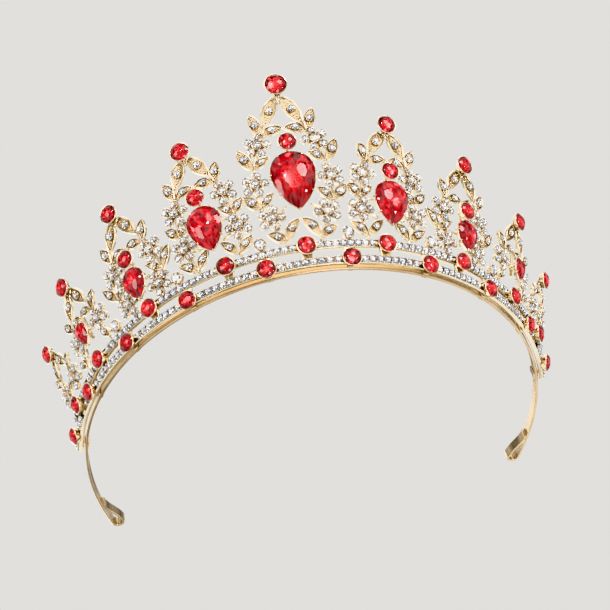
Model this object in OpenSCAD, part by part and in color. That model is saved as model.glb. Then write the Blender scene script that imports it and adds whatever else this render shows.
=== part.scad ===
// A dress tiara. A flat sprung headband carries a leaning crown front: two jewelled rails,
// nine cast peaks of leaves and flowers, and clear and red stones in metal settings.
// Millimetres, +Z up, the crown's front facing -Y, the lowest settings resting on z = 0.

/* [Crown front] */
// Radius of the crown's face at its lower rail
band_r = 72; // [69:1:76]
// Outward lean of the crown's face, in degrees
flare = 22.6; // [18:0.2:28]
// Arc length from the middle to each end of the lower rail
rail_end = 102.3; // [102:0.1:102.8]

/* [Rails] */
// Width of each rail, up the face
rail_w = 2.3; // [2:0.1:2.6]
// Thickness of the rails
rail_t = 1.2; // [1:0.1:1.4]
// Height of the upper rail's centre line above the lower rail's, at the middle
rail_gap = 4.7; // [4.4:0.1:5.2]
// Spacing of the clear crystals along a rail
crystal_pitch = 2.12; // [2:0.02:2.4]

/* [Headband] */
// Width of the flat strip, measured upright
strip_w = 3; // [2.6:0.1:3.4]
// Thickness of the strip
strip_t = 0.8; // [0.6:0.1:1]
// Inner radius of the strip behind the crown front
strip_in_r = 69; // [68:0.1:69]
// Radius of each free arm's gentle curve
arm_r = 95; // [85:1:105]
// Turn of each arm from its root to the head of its eye, in degrees
arm_turn = 22.5; // [18:0.5:26]
// Radius of the eye's round head, outside
eye_r = 2.1; // [1.8:0.1:2.6]
// Length of the eye from its head's centre to its point
eye_len = 11; // [9:0.5:13]

/* [Stones] */
// Radius of the round red stones on the rails
red_r = 2.35; // [2.1:0.05:2.5]
// Wall of the metal cup around a red stone
cup_wall = 0.35; // [0.3:0.05:0.5]
// Radius of a flower's crystals
petal_r = 1.22; // [1.1:0.02:1.3]
// Distance of the five petals from the flower's middle
petal_ring = 2.7; // [2.6:0.05:2.9]
// Thickness of the cast peaks
cast_t = 1.2; // [1:0.1:1.4]

/* [Hidden] */
$fn = 48;
gold = [0.93, 0.79, 0.56];
clear_white = [0.90, 0.94, 0.98];
ruby = [0.78, 0.03, 0.07];

// Arc positions from the middle: the peaks, and the upper and lower rails' red stones
peak_s = [0, 23.3, 45.2, 66.8, 85];
upper_red_s = [0, 21.3, 44.7, 66.8, 85];
lower_red_s = [11.3, 33.7, 55.2, 76.7, 95.9];
end_crystal_s = [99.6, 101.45];
upper_end = 92.8;

// Arc positions of the large crystals that stand on the upper rail in the three inner gaps
foot_s = [11.5, 34.85, 57.3];

// The rails stand behind the face, and the cups stand on the rails
rail_front = -0.2;
cup_depth = 1.8;
setting_lift = 0.9;
cup_r = red_r + cup_wall;
fit = 0.05;
lug_r = 0.4;
rail_crystal_r = 0.98;
row_clear = cup_r + lug_r + rail_crystal_r + 2 * fit;

// Height of the face's zero line, so that the lowest cups touch z = 0
face_z = cup_r * cos(flare) + (rail_front + cup_depth) * sin(flare);
strip_z = face_z - 1.3;
strip_mid_r = strip_in_r + strip_t / 2;

// Arms: each root is a round end on the hinge line, just past the end clip
root_gap = 0.25;
root_t = 82;
clip_t = 79.4;
root_r = strip_t / 2;
weld_turn = 0.4;
arm_centre_r = strip_mid_r - arm_r;
arm_start = root_t - 90;
eye_axis_r = arm_r + strip_t / 2 - eye_r;

// Heights and sizes of the peaks' stones, from the middle peak outwards
ball_h = [54.7, 41.8, 35.9, 29.7, 22.6];
ball_r = [3.0, 2.5, 2.45, 2.45, 2.35];
hang_h = [35.5, 26.1, 20.1];
pear_top = [32.3, 22.9, 16.8, 15.9];
pear_tip = [14.6, 9.4, 7.4, 8.6];
pear_r = [6.05, 4.8, 3.5, 2.5];

// Leaves on the right half of each peak: [foot x, foot height, tip x, tip height, width]
leaves = [
    [
        [1.2, 50.6, 5.0, 43.0, 4.0], [6.6, 39.8, 9.1, 47.2, 3.2],
        [6.1, 39.8, 0.5, 41.4, 2.9], [10.3, 30.3, 13.8, 37.2, 3.1],
        [9.9, 30.2, 5.2, 32.9, 2.6], [9.9, 18.1, 14.15, 22.75, 3.0],
        [9.8, 17.9, 5.9, 21.9, 2.6], [4.4, 7.3, 0.5, 13.0, 2.8],
        [4.4, 6.9, 9.6, 10.1, 2.7]
    ],
    [
        [1.1, 39.3, 4.8, 32.6, 3.9], [6.2, 29.8, 8.1, 35.7, 3.1],
        [5.5, 29.5, 0.5, 30.9, 2.8], [8.2, 18.5, 11.55, 22.55, 2.8],
        [8.2, 18.5, 4.4, 22.0, 2.5], [5.7, 7.0, 1.8, 11.8, 2.7],
        [6.0, 6.8, 11.0, 10.8, 2.7]
    ],
    [
        [1.1, 33.6, 4.7, 26.6, 3.7], [5.8, 23.6, 8.0, 29.4, 3.0],
        [5.1, 23.1, 0.4, 24.4, 2.7], [8.4, 12.7, 12.4, 18.5, 2.7],
        [8.2, 12.7, 3.6, 16.2, 2.4]
    ],
    [
        [0.9, 27.6, 4.2, 20.7, 3.4], [5.1, 17.6, 8.4, 22.2, 2.8],
        [4.5, 17.8, 0.4, 19.0, 2.5], [6.7, 6.5, 4.4, 10.6, 2.4]
    ],
    [
        [0.9, 20.8, 3.5, 15.0, 3.0], [4.1, 12.9, 6.8, 16.9, 2.6]
    ]
];

// Turn of each peak away from the middle, in degrees, about a point at this height
peak_turn = [0, 2.2, 0, 0, 0];
turn_h = 22;

// Leaves found only on the side of a peak that faces away from the middle
outer_leaves = [[], [], [], [[6.9, 6.3, 9.6, 9.0, 2.3]], []];

// Flowers on the right half of each peak, as [x, height]
flowers = [
    [[8.1, 37.0], [10.5, 25.4], [7.7, 14.5]],
    [[7.4, 25.9], [8.05, 14.7]],
    [[6.8, 19.9], [5.7, 9.5]],
    [[5.9, 14.0]],
    [[4.1, 9.4]]
];

// Stem that joins each half peak, from the rail's top edge up to the ball's cup
stems = [
    [[4.4, 6.3], [7.7, 14.5], [9.9, 18.1], [10.5, 25.4], [9.9, 30.2], [8.1, 37.0], [6.4, 40.5], [5.1, 43.3]],
    [[5.9, 6.3], [8.05, 14.7], [8.2, 18.5], [7.4, 25.9], [6.0, 30.0], [4.9, 33.0]],
    [[5.4, 6.0], [5.7, 9.5], [8.3, 12.7], [6.8, 19.9], [5.7, 23.6], [4.8, 26.9]],
    [[6.5, 5.6], [5.6, 8.9], [5.9, 14.0], [4.9, 17.8], [4.3, 21.0]],
    [[3.6, 4.8], [4.1, 9.4], [3.6, 15.3]]
];
stem_w = 0.9;

peak_names = [
    "left_peak_4", "left_peak_3", "left_peak_2", "left_peak_1", "centre_peak",
    "right_peak_1", "right_peak_2", "right_peak_3", "right_peak_4"
];
peak_parts = ["casting", "crystals", "settings", "red_stones"];

// Middle of the whole tiara from front to back, which the model is centred on
front_reach = band_r + (ball_h[0] + ball_r[0] + cup_wall) * sin(flare) + cup_depth * cos(flare);
back_reach = arm_centre_y() + eye_axis_r * sin(arm_start + arm_turn) + eye_r;
y_mid = (front_reach - back_reach) / 2;

function arm_centre_y() = -arm_centre_r * cos(root_t);
function arc_angle(s) = s / band_r * 180 / PI;
function side(k) = k < 0 ? -1 : 1;
function peak_name(k) = peak_names[k + 4];

// Centre line of the upper rail: level at the middle, sinking to the lower rail at the ends
function upper_h(s) = rail_gap - 2.35 * pow(abs(s) / upper_end, 3);

// A point at arc s, height h up the face and w in front of it
function face_pt(s, h, w) =
    let (t = arc_angle(s), r = band_r + h * sin(flare) + w * cos(flare))
    [r * sin(t), y_mid - r * cos(t), face_z + h * cos(flare) - w * sin(flare)];

// Places what is drawn flat, facing up, on the crown's face at arc s and height h
module on_face(s, h = 0)
    translate([0, y_mid, 0]) rotate([0, 0, arc_angle(s)]) translate([0, -band_r, face_z])
        rotate([flare, 0, 0]) rotate([90, 0, 0]) translate([0, h, 0]) children();

module both_sides() {
    children();
    mirror([1, 0]) children();
}

// Leaf outline: two equal arcs that meet at a and b
module leaf_outline(a, b, w) {
    d = b - a;
    r = (d * d + w * w) / (4 * w);
    translate((a + b) / 2) rotate(atan2(d.y, d.x)) intersection() {
        translate([0, r - w / 2]) circle(r);
        translate([0, w / 2 - r]) circle(r);
    }
}

module bar(a, b, w) {
    d = b - a;
    translate((a + b) / 2) rotate(atan2(d.y, d.x)) square([norm(d) + w / 2, w], center = true);
}

// Pear outline: a round head about the origin, and two arcs from it to a point below
module pear_outline(r, d) {
    c = (d * d - r * r) / (2 * r);
    intersection() {
        circle(r);
        translate([-2 * r, 0]) square([4 * r, 2 * r]);
    }
    intersection() {
        translate([c, 0]) circle(c + r);
        translate([-c, 0]) circle(c + r);
        translate([-2 * r, -2 * d]) square([4 * r, 2 * d]);
    }
}

module crystal(r) cylinder(h = 0.7 * r, r1 = r, r2 = 0.62 * r);

// Round red stone: a straight girdle under a bevelled crown
module red_round(r) {
    cylinder(h = 0.7, r = r - fit);
    translate([0, 0, 0.7]) cylinder(h = 0.8, r1 = r - fit, r2 = 0.6 * r);
}

// Round metal cup with a pocket for the stone and small lugs at its sides
module round_cup(r, lugs = [0, 180]) {
    difference() {
        union() {
            cylinder(h = cup_depth, r = r + cup_wall);
            for (a = lugs) rotate([0, 0, a]) translate([r + cup_wall, 0, 0]) cylinder(h = 1.2, r = lug_r);
        }
        translate([0, 0, 0.8]) cylinder(h = cup_depth, r = r);
    }
}

// Curved strip about the Z axis, centred on the front
module front_arc(r, angle) rotate([0, 0, -90 - angle]) rotate_extrude(angle = 2 * angle) children();

// Clear crystals in an even row between two stops on a rail
module crystal_row(from, to, upper) {
    n = floor((to - from) / crystal_pitch);
    for (i = [0 : n]) {
        s = n > 0 ? from + (to - from) * i / n : (from + to) / 2;
        on_face(s, upper ? upper_h(s) : 0) translate([0, 0, rail_front]) crystal(rail_crystal_r);
    }
}

/* Headband */

module headband() color(gold) {
    end_t = root_t - (root_r + root_gap) / strip_mid_r * 180 / PI;
    translate([0, y_mid, 0]) front_arc(strip_in_r, end_t)
        translate([strip_in_r, strip_z]) square([strip_t, strip_w]);
}

module right_arm() color(gold) {
    turn = arm_start + arm_turn;
    tip_turn = turn - eye_len / arm_r * 180 / PI;
    head = eye_axis_r * [cos(turn), sin(turn)];
    point = (arm_r - strip_t / 4) * [cos(tip_turn), sin(tip_turn)];
    to_point = point - head;
    translate([arm_centre_r * sin(root_t), y_mid + arm_centre_y(), strip_z]) {
        translate([arm_r * cos(arm_start), arm_r * sin(arm_start), 0]) cylinder(h = strip_w, r = root_r);
        rotate([0, 0, arm_start]) rotate_extrude(angle = tip_turn - arm_start + weld_turn)
            translate([arm_r - strip_t / 2, 0]) square([strip_t, strip_w]);
        translate(head) rotate([0, 0, atan2(to_point.y, to_point.x) + 90]) linear_extrude(strip_w)
            difference() {
                pear_outline(eye_r, norm(to_point));
                pear_outline(eye_r - strip_t, 0.72 * norm(to_point));
            }
    }
}

module left_arm() mirror([1, 0, 0]) right_arm();

// A saddle over the strip at angle t, open below, that reaches out to the back of the lower rail
saddle_reach = 0.42;
saddle_rise = 0.1;

module band_sleeve(t, length, wall) {
    translate([0, y_mid, strip_z]) rotate([0, 0, t]) difference() {
        translate([-length / 2, -strip_in_r - strip_t - saddle_reach, saddle_rise])
            cube([length, strip_t + saddle_reach + wall, strip_w + wall - saddle_rise]);
        rotate([0, 0, -95]) rotate_extrude(angle = 10)
            translate([strip_in_r - fit, -fit]) square([strip_t + 2 * fit, strip_w + 2 * fit]);
    }
}

module left_end_clip() color(gold) band_sleeve(-clip_t, 2.4, 0.5);
module right_end_clip() color(gold) band_sleeve(clip_t, 2.4, 0.5);

module band_clips() color(gold)
    for (s = [for (i = [0 : 3]) lower_red_s[i]]) for (m = [-1, 1]) band_sleeve(m * arc_angle(s), 1.6, 0.3);

/* Rails */

module lower_rail() color(gold)
    translate([0, y_mid, 0]) front_arc(band_r, arc_angle(rail_end))
        translate([band_r, face_z]) rotate(-flare)
            translate([rail_front - rail_t, -rail_w / 2]) square([rail_t, rail_w]);

module upper_rail() color(gold) {
    steps = 56;
    back = rail_front - rail_t;
    points = [
        for (i = [0 : steps])
            let (s = upper_end * (2 * i / steps - 1), h = upper_h(s))
            for (c = [[-1, back], [1, back], [1, rail_front], [-1, rail_front]])
                face_pt(s, h + c[0] * (rail_w / 2 - fit), c[1])
    ];
    sides = [
        for (i = [0 : steps - 1]) for (j = [0 : 3])
            [4 * i + j, 4 * i + (j + 1) % 4, 4 * i + 4 + (j + 1) % 4, 4 * i + 4 + j]
    ];
    last = 4 * steps;
    polyhedron(points, concat([[3, 2, 1, 0]], sides, [[last, last + 1, last + 2, last + 3]]), 4);
}

// Short posts between the rails, behind the red stones
module rail_links() color(gold) {
    spots = concat([for (i = [0 : 3]) upper_red_s[i]], [for (i = [0 : 2]) lower_red_s[i]]);
    for (s = spots) for (m = s == 0 ? [1] : [-1, 1]) {
        low = rail_w / 2;
        high = upper_h(s) - rail_w / 2;
        on_face(m * s) translate([-0.6, low, rail_front - rail_t + 0.1])
            cube([1.2, high - low, rail_t - 0.3]);
    }
}

module lower_rail_crystals() color(clear_white) {
    clear = row_clear;
    stops = lower_red_s;
    crystal_row(-stops[0] + clear, stops[0] - clear, false);
    for (i = [0 : 3]) {
        from = stops[i] + clear;
        // The outer peaks' red stones hang over the lower rail
        covered = i == 3;
        to = covered ? upper_red_s[4] - clear : stops[i + 1] - clear;
        crystal_row(from, to, false);
        crystal_row(-to, -from, false);
    }
    crystal_row(upper_red_s[4] + clear, stops[4] - clear, false);
    crystal_row(-stops[4] + clear, -upper_red_s[4] - clear, false);
    for (s = end_crystal_s) for (m = [-1, 1]) on_face(m * s) translate([0, 0, rail_front]) crystal(0.9);
}

// The upper row leaves room for the outer lower cups, where the rails run close together
module upper_rail_crystals() color(clear_white) {
    clear = row_clear;
    close_s = lower_red_s[3];
    close_gap = sqrt(max(0, pow(cup_r + rail_crystal_r + fit, 2) - pow(upper_h(close_s), 2)));
    starts = [for (s = upper_red_s) s + clear, close_s + close_gap];
    ends = [for (i = [1 : 3]) upper_red_s[i] - clear, close_s - close_gap,
        upper_end - 1.1, upper_red_s[4] - clear];
    for (i = [0 : len(ends) - 1]) {
        crystal_row(starts[i], ends[i], true);
        crystal_row(-ends[i], -starts[i], true);
    }
}

/* Red stones on the rails */

upper_red_drop = 0.35;

module at_lower_reds()
    for (s = lower_red_s) for (m = [-1, 1]) on_face(m * s) translate([0, 0, rail_front]) children();

module at_upper_reds()
    for (s = upper_red_s) for (m = s == 0 ? [1] : [-1, 1])
        on_face(m * s, upper_h(s) - upper_red_drop) translate([0, 0, rail_front]) children();

// The last cup on each side has no lug where the two end crystals follow it
module lower_cups() color(gold)
    for (i = [0 : 4]) for (m = [-1, 1]) on_face(m * lower_red_s[i]) translate([0, 0, rail_front])
        round_cup(red_r, i < 4 ? [0, 180] : [90 + m * 90]);

module upper_cups() color(gold) at_upper_reds() round_cup(red_r);
module lower_red_stones() color(ruby) at_lower_reds() translate([0, 0, 0.8]) red_round(red_r);
module upper_red_stones() color(ruby) at_upper_reds() translate([0, 0, 0.8]) red_round(red_r);

/* Large crystals between the peaks, standing on the upper rail */

foot_crystal_r = 1.6;
foot_cup_wall = 0.15;
foot_lift = 0.4;

function rail_top(s) = upper_h(s) + rail_w / 2;

module at_feet()
    for (s = foot_s) for (m = [-1, 1])
        on_face(m * s, rail_top(s) + foot_crystal_r + foot_lift) children();

module foot_cups() color(gold) at_feet() {
    r = foot_crystal_r + foot_cup_wall;
    difference() {
        translate([0, 0, -1]) cylinder(h = 1.4, r = r);
        cylinder(h = 1, r = foot_crystal_r);
    }
}

module foot_crystals() color(clear_white) at_feet() crystal(foot_crystal_r - fit);

/* Peaks. k counts from -4 at the left end to 4 at the right end */

module at_peak(k) on_face(side(k) * peak_s[abs(k)], turn_h)
    rotate([0, 0, -side(k) * peak_turn[abs(k)]]) translate([0, -turn_h, 0]) children();

// Height of a stem's lower end at distance x from peak k's middle, so that it rests on the upper rail
function foot_h(k, x) = rail_top(side(k) * peak_s[abs(k)] + x) + stem_w / 4 + fit;

module peak_casting(k) color(gold) {
    a = abs(k);
    stem = stems[a];
    at_peak(k) translate([0, 0, -cast_t]) linear_extrude(cast_t) {
        both_sides() {
            for (l = leaves[a]) leaf_outline([l[0], l[1]], [l[2], l[3]], l[4]);
            for (f = flowers[a]) translate(f) circle(petal_ring - 0.4);
            for (i = [1 : len(stem) - 1]) bar(stem[i - 1], stem[i], stem_w);
        }
        for (l = outer_leaves[a]) leaf_outline([side(k) * l[0], l[1]], [side(k) * l[2], l[3]], l[4]);
        // The rail falls away outward, so the outer stems of the outer peaks reach further down
        if (a > 2) {
            foot = side(k) * stem[0].x;
            bar([foot, stem[0].y], [foot, foot_h(k, foot)], stem_w);
        }
        translate([0, ball_h[a] - 3]) square([2.4, 4.6], center = true);
        if (a < 4) {
            head = pear_top[a] - pear_r[a];
            square_top = a < 3 ? hang_h[a] : pear_top[a] - 1;
            translate([0, (square_top + pear_tip[a]) / 2])
                square([2, square_top - pear_tip[a]], center = true);
            bar([-stem[2].x, head], [stem[2].x, head], stem_w);
            bar([-stem[len(stem) - 1].x, leaves[a][2][1]], [stem[len(stem) - 1].x, leaves[a][2][1]], stem_w);
        }
        if (a < 3) translate([0, hang_h[a] + 2]) square([2, 6], center = true);
        if (a == 4) bar([-stem[1].x, stem[1].y], stem[1], 2);
    }
}

// Each leaf carries one crystal in its middle
module leaf_crystals(l, m)
    translate([m * (l[0] + l[2]) / 2, (l[1] + l[3]) / 2]) crystal(l[4] > 2.9 ? 0.95 : 0.8);

module peak_crystals(k) color(clear_white) {
    a = abs(k);
    at_peak(k) {
        for (l = outer_leaves[a]) leaf_crystals(l, side(k));
        for (m = [-1, 1]) {
            for (l = leaves[a]) leaf_crystals(l, m);
            for (f = flowers[a]) translate([m * f.x, f.y]) {
                crystal(petal_r);
                for (i = [0 : 4]) rotate(90 - m * 90 + m * (36 + 72 * i))
                    translate([petal_ring, 0]) crystal(petal_r);
            }
        }
    }
}

// The cups for a peak's ball, hanging stone and pear. The last two stand on posts, over the flowers
module peak_settings(k) color(gold) {
    a = abs(k);
    at_peak(k) {
        translate([0, ball_h[a]]) round_cup(ball_r[a]);
        if (a < 3) translate([0, hang_h[a]]) {
            cylinder(h = setting_lift + 0.1, r = 1.1);
            translate([0, 0, setting_lift]) round_cup(red_r);
        }
        if (a < 4) translate([0, pear_top[a] - pear_r[a]]) {
            d = pear_top[a] - pear_r[a] - pear_tip[a];
            cylinder(h = setting_lift + 0.1, r = 1.1);
            translate([0, 0, setting_lift]) difference() {
                linear_extrude(1.6) pear_outline(pear_r[a] + cup_wall, d + 1.6 * cup_wall);
                translate([0, 0, 0.6]) linear_extrude(1.6) pear_outline(pear_r[a], d);
            }
        }
    }
}

module peak_red_stones(k) color(ruby) {
    a = abs(k);
    at_peak(k) {
        translate([0, ball_h[a], 0.8]) red_round(ball_r[a]);
        if (a < 3) translate([0, hang_h[a], setting_lift + 0.8]) red_round(red_r);
        if (a < 4) translate([0, pear_top[a] - pear_r[a], setting_lift + 0.6]) {
            d = pear_top[a] - pear_r[a] - pear_tip[a];
            linear_extrude(1.3) pear_outline(pear_r[a] - fit, d - 2 * fit);
            translate([0, 0, 1.3]) linear_extrude(0.7) pear_outline(0.72 * pear_r[a], 0.72 * d);
        }
    }
}

headband();
left_arm();
right_arm();
left_end_clip();
right_end_clip();
band_clips();
lower_rail();
upper_rail();
rail_links();
lower_rail_crystals();
upper_rail_crystals();
lower_cups();
lower_red_stones();
upper_cups();
upper_red_stones();
foot_cups();
foot_crystals();
for (k = [-4 : 4]) {
    peak_casting(k);
    peak_crystals(k);
    peak_settings(k);
    peak_red_stones(k);
}
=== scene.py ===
import math
import random

import bpy
import numpy as np
from mathutils import Matrix, Vector


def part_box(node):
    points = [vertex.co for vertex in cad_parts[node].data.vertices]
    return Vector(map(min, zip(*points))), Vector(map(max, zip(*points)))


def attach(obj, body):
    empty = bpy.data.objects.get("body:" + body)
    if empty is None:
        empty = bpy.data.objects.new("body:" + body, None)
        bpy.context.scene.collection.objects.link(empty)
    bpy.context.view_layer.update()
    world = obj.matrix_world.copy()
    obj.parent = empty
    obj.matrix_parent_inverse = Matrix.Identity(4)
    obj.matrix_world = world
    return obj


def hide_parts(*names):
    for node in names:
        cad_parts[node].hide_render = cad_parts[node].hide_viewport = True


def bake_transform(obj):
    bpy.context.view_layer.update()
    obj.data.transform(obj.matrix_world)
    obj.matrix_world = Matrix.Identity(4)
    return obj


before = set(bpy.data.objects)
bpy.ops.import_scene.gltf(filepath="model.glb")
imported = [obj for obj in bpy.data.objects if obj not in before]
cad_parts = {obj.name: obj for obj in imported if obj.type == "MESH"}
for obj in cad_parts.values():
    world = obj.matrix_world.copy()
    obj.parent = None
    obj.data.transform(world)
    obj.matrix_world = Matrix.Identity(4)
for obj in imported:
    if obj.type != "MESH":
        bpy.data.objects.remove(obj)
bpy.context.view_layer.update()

MM = 0.001
rng = random.Random(41)

# ---------------------------------------------------------------- driving sizes, in millimetres
# They repeat the CAD's sizes, apart from some clear stones, which are a little larger here.
# The face is a cone that leans outward from the band.
R, LEAN = 72.0, math.radians(22.6)
SIN, COS = math.sin(LEAN), math.cos(LEAN)

# Rails: width, thickness, front face, height of the upper one, how far it sinks, and both ends
RAIL_W, RAIL_T, RAIL_FRONT = 2.3, 1.2, -0.2
RAIL_GAP, RAIL_SINK = 4.7, 2.35
RAIL_END, UPPER_END = 102.3, 92.8

# Headband strip, its clips, and the arms with their eyes
STRIP_R, STRIP_T, STRIP_W = 69.0, 0.8, 3.0
FACE_OVER_STRIP = 1.3
ARM_R, ARM_TURN, ROOT_T, CLIP_T = 95.0, 22.5, 82.0, 79.4
EYE_R, EYE_LEN = 2.1, 11.0

# Red stones and their cups, and how far the hanging ones stand in front of the castings
RED_R, CUP_WALL, CUP_DEPTH, LIFT = 2.35, 0.35, 1.8, 0.9
RED_SEAT = 1.62

# Clear stones' radii: flower stones and their distance from the middle one, then row stones with the
# distance from a cup's wall to the first one's middle and their pitch, then end stones and foot stones
PETAL_R, PETAL_RING = 1.22, 2.7
ROW_R, ROW_ROOM, ROW_PITCH = 1.08, 1.04, 2.02
END_R, FOOT_R = 0.86, 1.58

# Arc positions along the band, from the middle outwards
PEAK_S = [0, 23.3, 45.2, 66.8, 85]
PEAK_TURN, TURN_H = [0, 2.2, 0, 0, 0], 22.0
UPPER_RED_S = [0, 21.3, 44.7, 66.8, 85]
LOWER_RED_S = [11.3, 33.7, 55.2, 76.7, 95.9]
FOOT_S = [11.5, 34.85, 57.3]
END_CRYSTAL_S = [99.6, 101.45]

# Heights up the face and sizes of the peaks' stones, from the middle peak outwards
BALL_H = [54.7, 41.8, 35.9, 29.7, 22.6]
BALL_R = [3.0, 2.5, 2.45, 2.45, 2.35]
HANG_H = [35.5, 26.1, 20.1]
PEAR_TOP = [32.3, 22.9, 16.8, 15.9]
PEAR_TIP = [14.6, 9.4, 7.4, 8.6]
PEAR_R = [6.05, 4.8, 3.5, 2.5]
NAMES = ["left_peak_4", "left_peak_3", "left_peak_2", "left_peak_1", "centre_peak",
         "right_peak_1", "right_peak_2", "right_peak_3", "right_peak_4"]

# Leaves: foot x, foot height, tip x, tip height, width, sideways bow
LEAVES = [
    [
        (1.2, 50.6, 5.0, 43.0, 4.0, 0.3), (6.6, 39.8, 9.1, 47.2, 3.2, 0.2),
        (6.2, 39.8, 0.12, 41.3, 3.0, -0.6), (10.3, 30.3, 13.8, 37.2, 3.1, -0.2),
        (9.9, 30.2, 5.2, 32.9, 2.6, -0.35), (9.9, 18.1, 14.15, 22.75, 3.0, -0.2),
        (9.8, 17.9, 5.9, 21.9, 2.6, -0.25), (4.6, 7.3, 0.15, 13.2, 2.9, -0.55),
        (4.4, 6.9, 9.6, 10.1, 2.7, 0.3)
    ],
    [
        (1.1, 39.3, 4.8, 32.6, 3.9, 0.3), (6.2, 29.8, 8.1, 35.7, 3.1, 0.2),
        (5.6, 29.5, 0.12, 30.8, 2.9, -0.55), (8.2, 18.5, 11.55, 22.55, 2.8, 0.2),
        (8.2, 18.5, 4.4, 22.0, 2.5, -0.25), (5.7, 7.0, 1.8, 11.8, 2.7, -0.2),
        (6.0, 6.8, 11.0, 10.8, 2.7, 0.3)
    ],
    [
        (1.1, 33.6, 4.7, 26.6, 3.7, 0.3), (5.8, 23.6, 8.0, 29.4, 3.0, 0.2),
        (5.2, 23.1, 0.12, 24.3, 2.8, -0.5), (8.4, 12.7, 12.4, 18.5, 2.7, 0.2),
        (8.2, 12.7, 3.6, 16.2, 2.4, -0.2)
    ],
    [
        (0.9, 27.6, 4.2, 20.7, 3.4, 0.3), (5.1, 17.6, 8.4, 22.2, 2.8, 0.2),
        (4.6, 17.8, 0.12, 18.9, 2.6, -0.45), (6.7, 6.5, 4.4, 10.6, 2.4, -0.2)
    ],
    [
        (0.9, 20.8, 3.5, 15.0, 3.0, 0.25), (4.1, 12.9, 6.8, 16.9, 2.6, 0.2)
    ]
]

# Leaves on the outer half only
OUTER_LEAVES = [[], [], [], [(6.9, 6.3, 9.6, 9.0, 2.3, 0.2)], []]

# Middles of the flowers, and the stems that join them
FLOWERS = [
    [
        (8.1, 37.0), (10.5, 25.4), (7.7, 14.5)
    ],
    [
        (7.4, 25.9), (8.05, 14.7)
    ],
    [
        (6.8, 19.9), (5.7, 9.5)
    ],
    [
        (5.9, 14.0)
    ],
    [
        (4.1, 9.4)
    ]
]
STEMS = [
    [
        (4.4, 6.3), (7.7, 14.5), (9.9, 18.1), (10.5, 25.4), (9.9, 30.2), (8.1, 37.0),
        (6.4, 40.5), (5.1, 43.3)
    ],
    [
        (5.9, 6.3), (8.05, 14.7), (8.2, 18.5), (7.4, 25.9), (6.0, 30.0), (4.9, 33.0)
    ],
    [
        (5.4, 6.0), (5.7, 9.5), (8.3, 12.7), (6.8, 19.9), (5.7, 23.6), (4.8, 26.9)
    ],
    [
        (6.5, 5.6), (5.6, 8.9), (5.9, 14.0), (4.9, 17.8), (4.3, 21.0)
    ],
    [
        (3.6, 4.8), (4.1, 9.4), (3.6, 15.3)
    ]
]

# Small pointed prongs from the lowest flowers to the pear's sides: root x, root height, end x, end height
PRONGS = [[(5.9, 14.6, 3.2, 16.9)], [(5.9, 12.9, 3.0, 11.9)], [], [], []]

band_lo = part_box("headband")[0]
STRIP_Z = band_lo.z / MM
Y_MID = band_lo.y / MM + STRIP_R + STRIP_T
FACE_Z = STRIP_Z + FACE_OVER_STRIP


def upper_h(s):
    """Height of the upper rail's middle line at arc s."""
    return RAIL_GAP - RAIL_SINK * (abs(s) / UPPER_END) ** 3


def rail_top(s):
    return upper_h(s) + RAIL_W / 2


class Spot(float):
    """An arc position, with the turn of the peak that stands there."""
    turn = 0.0


def turned(s, x, h):
    """A peak's own point on the face, once the peak has been turned about its height TURN_H."""
    a = getattr(s, "turn", 0.0)
    over = h - TURN_H
    return x * math.cos(a) + over * math.sin(a), TURN_H + over * math.cos(a) - x * math.sin(a)


def cone(s, x, h, w):
    """A point of the leaning face: arc s, distance x from there, height h up the slant, w in front."""
    x, h = turned(s, x, h)
    t = s / R + x / (R + h * SIN)
    r = R + h * SIN + w * COS
    return np.array([r * math.sin(t), Y_MID - r * math.cos(t), FACE_Z + h * COS - w * SIN])


class Place:
    """A flat local frame on the face: x along the band, y up the slant, z outward."""

    def __init__(self, s, x, h, w=0.0, spin=0.0, pitch=0.0, roll=0.0):
        turn_x, turn_h = turned(s, x, h)
        t = s / R + turn_x / (R + turn_h * SIN)
        ex = np.array([math.cos(t), math.sin(t), 0.0])
        ez = np.array([COS * math.sin(t), -COS * math.cos(t), -SIN])
        ey = np.cross(ez, ex)
        base = np.array([ex, ey, ez]).T
        tilt = Matrix.Rotation(pitch, 3, "X") @ Matrix.Rotation(roll, 3, "Y")
        turn = tilt @ Matrix.Rotation(spin - getattr(s, "turn", 0.0), 3, "Z")
        self.m = base @ np.array(turn)
        self.o = cone(s, x, h, w)

    def __call__(self, pts):
        return np.asarray(pts, float) @ self.m.T + self.o


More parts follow.
